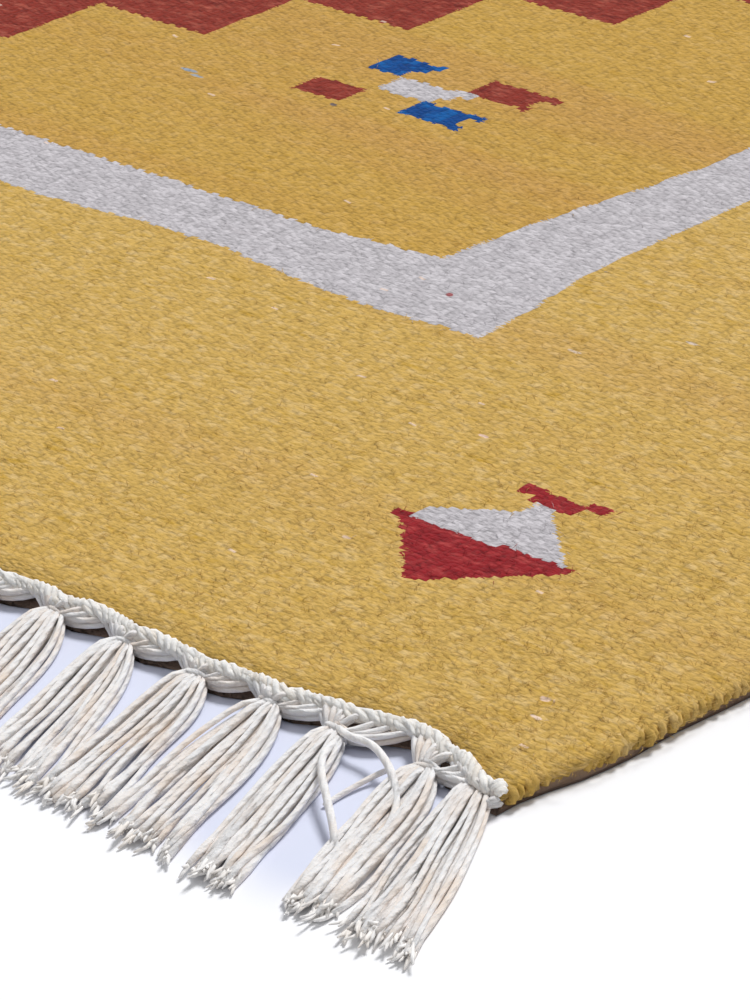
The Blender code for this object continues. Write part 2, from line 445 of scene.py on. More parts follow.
    def wave(self, place: Signal, shape: tuple[float, float, float]) -> Signal:
        """Return a wave along a place, from where it starts, its length and its height."""
        start, length, height = shape
        return ((place - start) * (TURN / length)).sine() * height

    def paint(self, graph: Graph, x: Signal, y: Signal) -> tuple[Signal, Signal, Signal]:
        """Colour the wool at a place on the rug.

        Args:
            graph: The material's graph.
            x: The place across the rug.
            y: The place along the rug.

        Returns:
            The colour, and the place within the float of weft, each from 0 to 1.
        """
        wander = graph.noise(graph.place(x, y), 0.16, 1.0)
        swerve = graph.noise(graph.place(x, y, 7.0), 0.13, 1.0)
        cell_x, cell_y, in_x, in_y = self.cells(graph, x + (wander - 0.5) * 2.6, y + (swerve - 0.5) * 3.4)
        ragged = graph.noise(graph.place(x * 0.5, y * 1.8, 11.0), 1.0, 2.0) - 0.5
        spot_x = cell_x * 0.55 + x * 0.45 + ragged * 3.0
        spot_y = cell_y * 0.55 + y * 0.45 + ragged * 1.2
        u = self.half_width - abs(spot_x)
        v = self.half_length - abs(spot_y)
        drift = self.wave(v, self.band_waves[0])
        ripple = self.wave(u, self.band_waves[1])
        bay = u.ramp(*self.band_bay[:2]) * self.band_bay[2]
        swell = v.ramp(*self.band_swell[:2]) * self.band_swell[2]
        outer = ((u + swell) > self.band_out[0]) & ((v - ripple) > self.band_out[1])
        inner = ((u - drift) > self.band_in[0]) & ((v - bay) > self.band_in[1])
        steps = ((self.medallion_first - u) / self.medallion_step[0]).ceil().most(0.0)
        edge = steps * self.medallion_step[1] + self.medallion_edge
        medallion = (v > edge) & (u > self.medallion_last)
        border_red, border_white = self.diamonds(u, v)

        soft_x, soft_y = x + (swerve - 0.5) * 2.0, y
        heather = graph.noise(graph.place(soft_x * 0.16, soft_y * 0.42), 1.0, 3.0, 0.6)
        speckle = graph.chance(graph.place(cell_x, cell_y))
        tone = graph.noise(graph.place(soft_x * 0.1, soft_y * 0.3, 30.0), 1.0, 3.0, 0.6)
        abrash = graph.noise(graph.place(cell_x * 0.0016, cell_y * 0.028, 60.0), 1.0, 3.0, 0.55)

        gold = self.dyed(graph, self.yellow, heather * 0.8 + speckle * 0.2, tone)
        deeper = graph.mix(abrash.ramp(0.46, 0.66), srgb(187, 144, 58), srgb(182, 131, 56))
        gold = graph.mix(inner * 0.55, gold, deeper)
        gold = graph.mix(abrash.ramp(0.5, 0.72) * 0.35, gold, srgb(194, 152, 88))
        red = self.dyed(graph, self.brick, heather, tone)
        ruby = self.dyed(graph, self.ruby, heather, tone)
        grey = self.dyed(graph, self.grey, speckle, tone)
        blue = self.dyed(graph, self.blue, speckle, tone)

        colour = graph.mix(outer & (1 - inner), gold, grey)
        colour = graph.mix(border_red & (1 - outer), colour, ruby)
        colour = graph.mix(border_white & (1 - outer), colour, grey)
        colour = graph.mix(medallion & inner, colour, red)
        for boxes, dyed in ((self.red_boxes, red), (self.blue_boxes, blue), (self.white_boxes, grey)):
            colour = graph.mix(self.boxed(u, v, boxes), colour, dyed)
        nep = (speckle > 0.9988) & in_y.between(0.3, 0.7)
        colour = graph.mix(nep * 0.7, colour, srgb(222, 196, 178))
        for along, inward, long, thick, dye in self.flecks:
            dx = (x - (self.half_width - along) + (y + self.half_length - inward) * 0.35) / long
            dy = (y + self.half_length - inward + ragged * 1.2) / thick
            colour = graph.mix((dx * dx + dy * dy).ramp(1.3, 0.5) * 0.85, colour, dye)
        return graph.shade(colour, speckle * 0.14 + 0.94), in_x, in_y


@dataclass(frozen=True)
class WovenWool:
    """The face of the cloth: ribs of short weft floats, dulled by fibre, with painted shade in the pits
    between them and on the cloth's rim.
    """

    design: KilimDesign
    relief: float = 0.75
    rough: float = 0.95
    sheen: float = 0.04
    # painted shade: the dark brown of the rim and the low ring at floor level, standing for the shadow
    # beneath the cloth's edge and the heading
    painted_shade_colour: Colour = srgb(142, 120, 106)

    def material(self) -> bpy.types.Material:
        """Make the material."""
        graph = Graph("woven_wool")
        x, y = graph.layer(CLOTH_LAYER)
        colour, in_x, in_y = self.design.paint(graph, x, y)
        side = in_x * 2 - 1
        rise = in_y * 2 - 1 + side * 0.35
        float_height = (1 - side * side) * (1 - rise * rise * 0.7).most(0.0)
        streak = graph.noise(graph.place(x * 0.5 + y * 0.15, y * 1.5), 1.0, 3.0, 0.52)
        lump = graph.noise(graph.place(x * 0.36, y * 0.5, 3.0), 1.0, 3.0, 0.55)
        height = float_height * 0.36 + streak * 0.5 + lump * 0.8
        # painted shade: the pits between floats are painted darker, as if in shadow
        pit_shade = (1 - float_height) * lump.ramp(0.56, 0.36)
        colour = graph.shade(colour, 1.05 - pit_shade * 0.3)
        colour = graph.shade(colour, streak * 0.5 + 0.75)
        # painted shade: the thread layer gives how far the rim and the low ring take the dark shade colour
        under, _ = graph.layer(THREAD_LAYER)
        colour = graph.mix(under, colour, self.painted_shade_colour)
        fixed = {"Roughness": self.rough, "Sheen Weight": self.sheen, "Sheen Roughness": 0.6}
        fixed |= {"Specular IOR Level": 0.1}
        return graph.finish(colour, height, self.relief, fixed)


@dataclass(frozen=True)
class WoolYarn:
    """Loose wool in the colours of the cloth beside it: the selvedge's turns, or stray fibre, which its light
    factor paints lighter as a highlight.
    """

    design: KilimDesign
    name: str
    # painted highlight: a factor on the colour; above 1, stray fibre is painted lighter as though catching
    # the light
    light: float = 1.0
    relief: float = 0.6

    def material(self) -> bpy.types.Material:
        """Make the material."""
        graph = Graph(self.name)
        x, y = graph.layer(CLOTH_LAYER)
        along, around = graph.layer(THREAD_LAYER)
        colour, _, _ = self.design.paint(graph, x, y)
        twist = ((around * 2 + along / 3.2) * TURN).sine() * 0.5 + 0.5
        fibre = graph.noise(graph.place(along * 0.9 + around * 3, around * 8, x * 0.5 + y), 1.0, 4.0, 0.65)
        lump = graph.noise(graph.place(along * 0.3, around * 2, x + y), 1.0, 2.0)
        # painted highlight: the light factor lifts the colour
        colour = graph.shade(colour, fibre * 0.6 + (self.light - 0.3))
        colour = graph.shade(colour, lump.ramp(0.3, 0.62) * 0.2 + 0.84)
        height = twist * 0.2 + fibre * 0.8 + lump
        fixed = {"Roughness": 0.95, "Sheen Weight": 0.04, "Sheen Roughness": 0.6, "Specular IOR Level": 0.1}
        return graph.finish(colour, height, self.relief, fixed)


@dataclass(frozen=True)
class CottonYarn:
    """Undyed plied cotton, a little uneven in colour from yarn to yarn."""

    name: str
    plain: Colour = srgb(246, 242, 239)
    warm: Colour = srgb(237, 218, 202)
    ply_pitch: float = 4.6
    relief: float = 0.42
    soft: float = 0.4

    def material(self) -> bpy.types.Material:
        """Make the material."""
        graph = Graph(self.name)
        along, around = graph.layer(THREAD_LAYER)
        seed, _ = graph.layer(CLOTH_LAYER)
        ply = ((around * 3 + along / self.ply_pitch) * TURN).sine() * 0.5 + 0.5
        fibre = graph.noise(graph.place(along * 1.1, around * 7 + along * 0.9, seed), 1.0, 3.0, 0.6)
        stain = graph.noise(graph.place(along * 0.06, seed * 3.1), 1.0, 2.0)
        colour = graph.mix(stain.ramp(0.42, 0.75), self.plain, self.warm)
        # painted shade: the grooves between plies are painted a little darker
        colour = graph.shade(colour, ply * 0.03 + fibre * 0.12 + 0.92)
        fixed = {"Roughness": 0.9, "Sheen Weight": 0.15, "Sheen Roughness": 0.5, "Specular IOR Level": 0.2}
        fixed |= {"Subsurface Weight": self.soft, "Subsurface Radius": (1.0, 0.9, 0.8)}
        fixed |= {"Subsurface Scale": 2 * MM}
        return graph.finish(colour, ply * 0.35 + fibre * 0.8, self.relief, fixed)


@dataclass(frozen=True)
class PaleFloor:
    """The plain pale surface that the rug lies on, with a painted bluish shadow on it beneath each fringe."""

    # painted shade: the bluish tint and the reach of the soft shadow painted beneath each fringe
    fringe_shade_colour: Colour = srgb(217, 221, 238)
    fringe_shade_start: float = 0.735
    fringe_shade_end: tuple[float, float] = (0.792, 0.812)
    fringe_shade_side: tuple[float, float] = (0.428, 0.449)

    def material(self) -> bpy.types.Material:
        """Make the material."""
        graph = Graph("pale_floor")
        place = graph.node("ShaderNodeTexCoord", {}, {}, 3)
        cloud = graph.noise(place, 3.0, 3.0)
        across = graph.node("ShaderNodeSeparateXYZ", {}, {0: place})
        along = abs(Signal(graph, across.socket.node.outputs[1]))
        # painted shade: the mask of the painted shadow beneath each fringe
        fringe_shade_mask = (along > self.fringe_shade_start) & along.ramp(self.fringe_shade_end[1], self.fringe_shade_end[0])
        fringe_shade_mask = fringe_shade_mask & abs(across).ramp(self.fringe_shade_side[1], self.fringe_shade_side[0])
        colour = graph.mix(cloud, srgb(246, 246, 248), srgb(250, 250, 251))
        colour = graph.mix(fringe_shade_mask, colour, self.fringe_shade_colour)
        return graph.finish(colour, cloud, 0.05, {"Roughness": 0.8, "Specular IOR Level": 0.1})


class Bundle:
    """Many small forms gathered into one mesh. Each corner has a place on the cloth and on its thread."""

    def __init__(self) -> None:
        """Start with nothing gathered."""
        self.count = 0
        self.points: list[np.ndarray] = []
        self.faces: list[np.ndarray] = []
        self.corners: list[np.ndarray] = []

    def put_points(self, points: np.ndarray) -> int:
        """Gather points, in millimetres, and return the number of the first."""
        first = self.count
        self.points.append(points.reshape(-1, 3))
        self.count += len(self.points[-1])
        return first

    def put_faces(self, faces: np.ndarray, corners: np.ndarray) -> None:
        """Gather faces of one kind.

        Args:
            faces: The numbers of their points, one row a face.
            corners: For each corner, its place on the cloth and its place on the thread.
        """
        self.faces.append(faces.reshape(-1, faces.shape[-1]))
        self.corners.append(corners.reshape(-1, 4))

    def tubes(
        self,
        paths: np.ndarray,
        radii: np.ndarray,
        places: np.ndarray,
        sides: int = 6,
        up: tuple[float, float, float] = (0.0, 0.0, 1.0),
    ) -> None:
        """Gather closed tubes that all have the same number of steps.

        Args:
            paths: The middle line of each, shaped tubes by steps by 3.
            radii: The radius at each step, shaped tubes by steps.
            places: The place of each on the cloth, shaped tubes by steps by 2.
            sides: How many sides a tube has.
            up: A direction that no tube follows.
        """
        count, steps, _ = paths.shape
        tangent = np.gradient(paths, axis=1)
        tangent /= np.linalg.norm(tangent, axis=2, keepdims=True)
        side = np.cross(tangent, np.array(up))
        side /= np.linalg.norm(side, axis=2, keepdims=True)
        over = np.cross(side, tangent)
        angles = np.arange(sides) * TURN / sides
        around = np.cos(angles)[:, None] * side[:, :, None] + np.sin(angles)[:, None] * over[:, :, None]
        ring = paths[:, :, None] + radii[:, :, None, None] * around
        first_tip = paths[:, 0] - tangent[:, 0] * radii[:, :1] * 0.7
        last_tip = paths[:, -1] + tangent[:, -1] * radii[:, -1:] * 0.7
        first = self.put_points(ring)
        tips = self.put_points(np.stack([first_tip, last_tip], axis=1))
        index = first + np.arange(count * steps * sides).reshape(count, steps, sides)
        after = np.roll(index, -1, axis=2)

        run = np.linalg.norm(np.diff(paths, axis=1), axis=2)
        along = np.concatenate([np.zeros((count, 1)), np.cumsum(run, axis=1)], axis=1)
        data = np.zeros((count, steps, sides + 1, 4))
        data[..., :2] = places[:, :, None]
        data[..., 2] = along[:, :, None]
        data[..., 3] = np.arange(sides + 1) / sides
        quads = np.stack([index[:, :-1], index[:, 1:], after[:, 1:], after[:, :-1]], axis=-1)
        low, high = data[:, :-1], data[:, 1:]
        spots = [low[:, :, :-1], high[:, :, :-1], high[:, :, 1:], low[:, :, 1:]]
        self.put_faces(quads, np.stack(spots, axis=3))
        for end, step in enumerate((0, -1)):
            tip = np.broadcast_to((tips + np.arange(count) * 2 + end)[:, None], (count, sides))
            pair = (index[:, step], after[:, step]) if end == 0 else (after[:, step], index[:, step])
            here, there = data[:, step, :-1], data[:, step, 1:]
            spots = (here, there) if end == 0 else (there, here)
            self.put_faces(np.stack([tip, *pair], axis=-1), np.stack([(here + there) / 2, *spots], axis=2))

    def fibres(self, paths: np.ndarray, thick: np.ndarray, places: np.ndarray) -> None:
        """Gather fibres, each a bent spindle.

        Args:
            paths: The root, the bend and the tip of each, shaped fibres by 3 by 3.
            thick: The radius of each at its bend.
            places: The place of each on the cloth, shaped fibres by 2.
        """
        count = len(paths)
        heading = paths[:, 2] - paths[:, 0]
        heading /= np.linalg.norm(heading, axis=1, keepdims=True)
        side = np.cross(heading, np.array([0.02, 0.03, 1.0]))
        side /= np.linalg.norm(side, axis=1, keepdims=True)
        over = np.cross(side, heading)
        angles = np.arange(3) * TURN / 3
        around = np.cos(angles)[:, None] * side[:, None] + np.sin(angles)[:, None] * over[:, None]
        ring = paths[:, 1:2] + thick[:, None, None] * around
        first = self.put_points(np.concatenate([paths[:, :1], ring, paths[:, 2:]], axis=1))
        pattern = np.array([(0, 1, 2), (0, 2, 3), (0, 3, 1), (4, 2, 1), (4, 3, 2), (4, 1, 3)])
        faces = first + np.arange(count)[:, None, None] * 5 + pattern
        data = np.zeros((count, 5, 4))
        data[..., :2] = places[:, None]
        data[..., 2] = np.array([0.0, 2.0, 2.0, 2.0, 4.0])
        data[..., 3] = np.array([0.0, 0.0, 0.33, 0.66, 0.0])
        self.put_faces(faces, data[:, pattern])

    def make(self, name: str, material: bpy.types.Material, slot: str, turn: float = 1.0) -> bpy.types.Object:
        """Make the piece.

        Args:
            name: The piece's name.
            material: Its material.
            slot: Not used.
            turn: 1 as gathered, or -1 turned half round.

        Returns:
            The piece, riding on the rug.
        """
        points = np.concatenate(self.points) * MM
        points[:, :2] *= turn
        corners = np.concatenate(self.corners)
        loops = np.concatenate([faces.ravel() for faces in self.faces]).astype(np.int32)
        sizes = np.concatenate([np.full(len(faces), faces.shape[1]) for faces in self.faces])
        starts = np.concatenate([[0], np.cumsum(sizes)[:-1]]).astype(np.int32)
        mesh = bpy.data.meshes.new(name)
        mesh.vertices.add(len(points))
        mesh.vertices.foreach_set("co", points.astype(np.float32).ravel())
        mesh.loops.add(len(loops))
        mesh.loops.foreach_set("vertex_index", loops)
        mesh.polygons.add(len(sizes))
        mesh.polygons.foreach_set("loop_start", starts)
        mesh.update(calc_edges=True)
        mesh.polygons.foreach_set("use_smooth", np.ones(len(sizes), dtype=bool))
        for layer, part in ((CLOTH_LAYER, corners[:, :2] * turn), (THREAD_LAYER, corners[:, 2:])):
            uv = mesh.uv_layers.new(name=layer)
            uv.data.foreach_set("uv", part.astype(np.float32).ravel())
        mesh.materials.append(material)
        piece = bpy.data.objects.new(name, mesh)
        bpy.context.scene.collection.objects.link(piece)
        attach(piece, ROOT)
        log.info("%s: %d triangles", name, int((sizes - 2).sum()))
        return piece


@dataclass
class RugOutline:
    """The edges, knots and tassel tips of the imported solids, read from their points."""

    rim_height: float = 1.2
    knot_height: float = 4.1
    tip_height: float = 2.0
    tassels: int = 42
    half_width: float = 450.0
    half_length: float = 750.0
    corner_inset: float = 5.8
    knot_shift: tuple[float, float] = (-0.6, 3.3)
    corner_shifts: tuple[tuple[float, float], ...] = ((-2.4, 0.3), (0.8, -0.4), (-3.2, 6.4))
    # painted shade: how far the low ring, painted as the shadow beneath the heading, reaches by distance past
    # each knot
    shade_lip_places: tuple[float, ...] = (0.0, 6.0, 8.0, 17.0, 22.0)
    shade_lip_reach: tuple[float, ...] = (5.2, 6.0, 5.6, 2.4, 2.4)
    end_line: np.ndarray = field(init=False)
    side_line: np.ndarray = field(init=False)
    knots: np.ndarray = field(init=False)
    tips: np.ndarray = field(init=False)

    def __post_init__(self) -> None:
        """Read the lines and the tassels."""
        rim = self.points_at("rug_cloth", self.rim_height)
        end = rim[rim[:, 1] < self.corner_inset + 2.2 - self.half_length]
        side = rim[rim[:, 0] > self.half_width - self.corner_inset]
        self.end_line = end[np.argsort(end[:, 0])]
        self.side_line = side[np.argsort(side[:, 1])]
        self.knots = self.grouped(self.knot_height)
        corner = len(self.corner_shifts)
        self.knots[:-corner, :2] += self.knot_shift
        self.knots[-corner:, :2] += self.corner_shifts
        self.tips = self.grouped(self.tip_height)

    def points_at(self, node: str, height: float) -> np.ndarray:
        """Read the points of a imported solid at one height, in millimetres, each once."""
        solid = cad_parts[node]
        places = np.array([tuple(solid.matrix_world @ vertex.co) for vertex in solid.data.vertices]) / MM
        level = places[np.abs(places[:, 2] - height) < 0.05]
        return np.unique(level.round(2), axis=0)

    def grouped(self, height: float) -> np.ndarray:
        """Return the middle of each tassel's points at one height."""
        points = self.points_at("fringe_near", height)
        points = points[np.argsort(points[:, 0])]
        return points.reshape(self.tassels, -1, 3).mean(axis=1)

    def end_at(self, x: np.ndarray) -> np.ndarray:
        """Return where the cloth's near end lies, for places across the rug."""
        return np.interp(x, self.end_line[:, 0], self.end_line[:, 1])

    def side_at(self, y: np.ndarray) -> np.ndarray:
        """Return where the cloth's right selvedge lies, for places along the rug."""
        return np.interp(y, self.side_line[:, 1], self.side_line[:, 0])

    def shade_lip_at(self, x: np.ndarray) -> np.ndarray:
        """Return how far the low ring of painted shade reaches in front of the near end, most just past each
        knot, as the shadow beneath the heading.
        """
        before = np.clip(np.searchsorted(self.knots[:, 0], x) - 1, 0, len(self.knots) - 1)
        reach = np.interp(x - self.knots[before, 0], self.shade_lip_places, self.shade_lip_reach)
        return reach * np.clip((self.half_width - 4 - np.abs(x)) / 8, 0.1, 1.0)


@dataclass
class Cloth:
    """The woven sheet: a thin slab on the solid's outline, with the slight swells of a rug laid flat; its
    lower rim and a low ring at floor level are painted in a dark shade colour, and at each end that ring
    reaches out as the painted shadow beneath the heading.
    """

    outline: RugOutline
    columns: int = 230
    rows: int = 236
    face_height: float = 4.25
    swell: float = 0.24
    rim_top: tuple[float, float] = (2.6, 0.9)
    # Each rim ring: inset across, inset along, height, run on the cloth, and its share of painted shade; the
    # lower rings are painted dark as the shade beneath the edge.
    rim: tuple[tuple[float, float, float, float, float], ...] = (
        (1.6, 0.5, 3.6, 1.2, 0.0), (1.5, 0.9, 2.8, 2.0, 0.1), (2.4, 1.6, 1.7, 3.4, 0.8),
        (1.9, 0.4, 0.45, 5.0, 1.0),
    )
    # painted shade: how far in from the selvedges and how high the low ring in the dark shade colour lies
    shade_lip: tuple[float, float] = (1.5, 0.2)
    seed: int = 5

    def height_at(self, x: np.ndarray, y: np.ndarray) -> np.ndarray:
        """Return the height of the cloth's face.

        Args:
            x: Places across the rug.
            y: Places along the rug.

        Returns:
            The heights there.
        """
        rng = np.random.default_rng(self.seed)
        total = np.zeros(np.broadcast(x, y).shape)
        for _ in range(14):
            length = rng.uniform(90, 320)
            way = rng.uniform(0, TURN)
            phase = rng.uniform(0, TURN)
            total += np.sin((x * np.cos(way) + y * np.sin(way)) * TURN / length + phase)
        inside = np.minimum(self.outline.half_width - np.abs(x), self.outline.half_length - np.abs(y))
        calm = np.clip(inside / 40, 0, 1)
        return self.face_height + total * self.swell * 0.38 * calm

    def surface_at(self, s: np.ndarray, t: np.ndarray) -> tuple[np.ndarray, np.ndarray]:
        """Spread the outline over the cloth.

        Args:
            s: The share of the way across, from 0 to 1.
            t: The share of the way along, from 0 to 1.

        Returns:
            The places x and y.
        """
        level = (t * 2 - 1) * self.outline.half_length
        right = self.outline.side_at(level)
        left = -self.outline.side_at(-level)
        x = left + (right - left) * s
        near = self.outline.end_at(x)
        far = -self.outline.end_at(-x)
        return x, near + (far - near) * t

    def make(self, material: bpy.types.Material) -> bpy.types.Object:
        """Make the sheet.

        Args:
            material: The woven wool.

        Returns:
            The sheet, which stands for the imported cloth.
        """
        s, t = np.meshgrid(np.linspace(0, 1, self.columns), np.linspace(0, 1, self.rows), indexing="ij")
        x, y = self.surface_at(s, t)
        middle = np.array([self.outline.half_width, self.outline.half_length])
        shrink = 1 - np.array(self.rim_top) / middle
        top = np.stack([x * shrink[0], y * shrink[1], self.height_at(x, y)], axis=-1)
        bundle = Bundle()
        first = bundle.put_points(top)
        index = first + np.arange(self.columns * self.rows).reshape(self.columns, self.rows)
        place = np.stack([x, y, x * 0, x * 0], axis=-1)
        faces = self.quads(index)
        bundle.put_faces(faces, self.quads(place, stacked=True))
        loop = self.border(index)
        edge = self.border(np.stack([x, y], axis=-1))
        above, high = loop, np.column_stack([edge, edge * 0])
        # painted shade: the last value of each rim ring is its share of the dark shade colour
        for inside_x, inside_y, height, run, shade in self.rim:
            inset = 1 - np.array([inside_x, inside_y]) / middle
            ring = np.column_stack([edge * inset, np.full(len(edge), height)])
            low = np.column_stack([edge * (1 + run / middle), np.full((len(edge), 2), shade)])
            below = bundle.put_points(ring) + np.arange(len(ring))
            self.wall(bundle, above, below, high, low)
            above, high = below, low
        # painted shade: a low ring at floor level, wholly in the dark shade colour, reaching out in front of
        # each end as the shadow beneath the heading
        shade_lip_side, shade_lip_height = self.shade_lip
        ends = np.abs(edge[:, 1]) > self.outline.half_length - 9
        reach = np.where(ends, self.outline.shade_lip_at(-np.sign(edge[:, 1]) * edge[:, 0]), 0.0)
        ring_x = edge[:, 0] * (1 - shade_lip_side / middle[0])
        ring_y = edge[:, 1] + np.sign(edge[:, 1]) * reach
        ring = np.column_stack([ring_x, ring_y, np.full(len(edge), shade_lip_height)])
        low = np.column_stack([edge, np.ones((len(edge), 2))])
        below = bundle.put_points(ring) + np.arange(len(ring))
        self.wall(bundle, above, below, high, low)
        # painted shade: the bottom is in the dark shade colour too
        bundle.put_faces(below[::-1][None], low[::-1][None])
        piece = bundle.make("woven_sheet", material, "wool_flatweave")
        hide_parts("rug_cloth")
        return piece

    def quads(self, grid: np.ndarray, stacked: bool = False) -> np.ndarray:
        """Join a grid's neighbours into quads that face up."""
        corners = [grid[:-1, :-1], grid[1:, :-1], grid[1:, 1:], grid[:-1, 1:]]
        return np.stack(corners, axis=2 if stacked else -1)

    def border(self, grid: np.ndarray) -> np.ndarray:
        """Walk round a grid's border once, against the clock seen from above."""
        return np.concatenate([grid[:-1, 0], grid[-1, :-1], grid[:0:-1, -1], grid[0, :0:-1]])

    def wall(
        self, bundle: Bundle, above: np.ndarray, below: np.ndarray, high: np.ndarray, low: np.ndarray
    ) -> None:
        """Join two rings of points by a band of quads that face out.

        Args:
            bundle: What gathers them.
            above: The numbers of the upper ring's points.
            below: The numbers of the lower ring's points.
            high: The upper ring's places on the cloth, and how far it is painted in the shade colour.
            low: The lower ring's places on the cloth, and how far it is painted in the shade colour.
        """
        faces = np.stack([above, below, np.roll(below, -1), np.roll(above, -1)], axis=-1)
        spots = [high, low, np.roll(low, -1, axis=0), np.roll(high, -1, axis=0)]
        bundle.put_faces(faces, np.stack(spots, axis=1))


@dataclass
class Selvedge:
    """The wefts that turn round the outermost warp, one soft lump beside the next."""

    outline: RugOutline
    side: Side
    pitch: float = 2.2
    yarn: float = 1.1
    slant: float = 1.6
    inside: tuple[float, ...] = (6.6, 4.8, 3.2, 1.9, 1.2, 1.3, 2.2, 3.8)
    heights: tuple[float, ...] = (3.25, 3.5, 3.5, 3.2, 2.65, 2.05, 1.6, 1.5)
    girth: tuple[float, ...] = (0.5, 0.8, 0.96, 1.05, 1.05, 0.95, 0.8, 0.5)
    seed: int = 21

    def make(self, material: bpy.types.Material) -> bpy.types.Object:
        """Make the selvedge.

        Args:
            material: Wool yarn.

        Returns:
            The piece.
        """
        rng = np.random.default_rng(self.seed)
        reach = self.outline.half_length - 1.0
        middles = np.arange(-reach - 3.0, reach, self.pitch)
        count, steps = len(middles), len(self.inside)
        middles = middles + rng.uniform(-0.9, 0.9, count)
        part = np.linspace(-1, 1, steps)
        y = middles[:, None] - part * self.slant * rng.uniform(0.2, 1.8, (count, 1))
        inside = np.array(self.inside) + rng.uniform(-0.35, 0.55, (count, 1))
        x = self.outline.side_at(y) - inside
        z = np.array(self.heights) + rng.uniform(-0.15, 0.15, (count, 1))
        radii = np.array(self.girth) * self.yarn * rng.uniform(0.78, 1.12, (count, 1))
        radii *= rng.uniform(0.94, 1.06, (count, steps))
        z = np.maximum(z, radii + 0.05)
        paths = np.stack([x, y, z], axis=-1)
        bundle = Bundle()
        bundle.tubes(paths, radii, paths[..., :2], 6, (0.0, 1.0, 0.0))
        return bundle.make(f"selvedge_{self.side.word}", material, "wool_flatweave", self.side.value)


@dataclass
class Heading:
    """The twined cotton heading at an end: yarns laid round a core that follows the end of the cloth."""

    outline: RugOutline
    end: End
    yarn: float = 0.78
    core: float = 1.5
    lay: float = 11.4
    strands: int = 5
    steps: int = 9
    first_x: float = -447.0
    last_x: float = 440.5
    offset: float = -1.4
    height: float = 3.85
    twine: tuple[float, float] = (1.45, 0.85)
    dip: float = 1.1
    dip_reach: float = 3.6
    end_turns: tuple[tuple[float, float], ...] = ((0.0, 1.4), (1.1, 1.4), (2.1, 0.9))
    end_yarn: float = 0.9
    end_steps: int = 11
    seed: int = 33

    def make(self, material: bpy.types.Material) -> bpy.types.Object:
        """Make the heading.

        Args:
            material: Cotton yarn.

        Returns:
            The piece.
        """
        bundle = Bundle()
        rng = np.random.default_rng(self.seed)
        turns = (self.last_x - self.first_x) / self.lay
        count = int(turns * self.steps)
        x = np.linspace(self.first_x, self.last_x, count)
        wobble = np.interp(x, np.linspace(self.first_x, self.last_x, 220), rng.uniform(-0.7, 0.7, 220))
        line = self.line_at(x)
        for strand in range(self.strands):
            angle = (x / self.lay + strand / self.strands + wobble * 0.25) * TURN
            y = line + self.twine[0] * np.cos(angle) + wobble * 0.3 + rng.normal(0, 0.1, count)
            z = self.height + self.twine[1] * np.sin(angle) + rng.normal(0, 0.07, count)
            radii = self.yarn * (1 + 0.2 * np.sin(angle * 0.37 + strand)) * rng.uniform(0.9, 1.12, count)
            self.lay_yarn(bundle, np.stack([x, y, z], axis=-1), radii, strand + 5.0)
        core = np.stack([x, line, np.full(count, self.height)], axis=-1)[::4]
        self.lay_yarn(bundle, core, np.full(len(core), self.core), 11.0)
        self.wrap_end(bundle)
        return bundle.make(f"heading_{self.end.word}", material, "cotton_fringe", self.end.value)

    def wrap_end(self, bundle: Bundle) -> None:
        """Close the heading at the corner with a few round turns of yarn."""
        angle = np.linspace(0, TURN, self.end_steps)
        for past, wide in self.end_turns:
            x = self.last_x + past + 0.3 * np.sin(angle)
            y = self.line_at(x) + wide * np.cos(angle) + 0.9
            z = self.height + wide * 0.7 * np.sin(angle)
            path = np.stack([x, y, z], axis=-1)[None]
            radii = np.full((1, self.end_steps), self.end_yarn)
            bundle.tubes(path, radii, np.full((1, self.end_steps, 2), past), 6, (1.0, 0.0, 0.0))

    def lay_yarn(self, bundle: Bundle, path: np.ndarray, radii: np.ndarray, seed: float) -> None:
        """Gather one yarn that runs the whole width."""
        bundle.tubes(path[None], radii[None], np.full((1, len(path), 2), seed), 6)

    def line_at(self, x: np.ndarray) -> np.ndarray:
        """Return where the heading's middle runs: along the cloth, drawn out a little at each knot."""
        gap = np.abs(np.asarray(x)[..., None] - self.outline.knots[:, 0]).min(axis=-1)
        return self.outline.end_at(x) + self.offset - self.dip * np.exp(-((gap / self.dip_reach) ** 2))


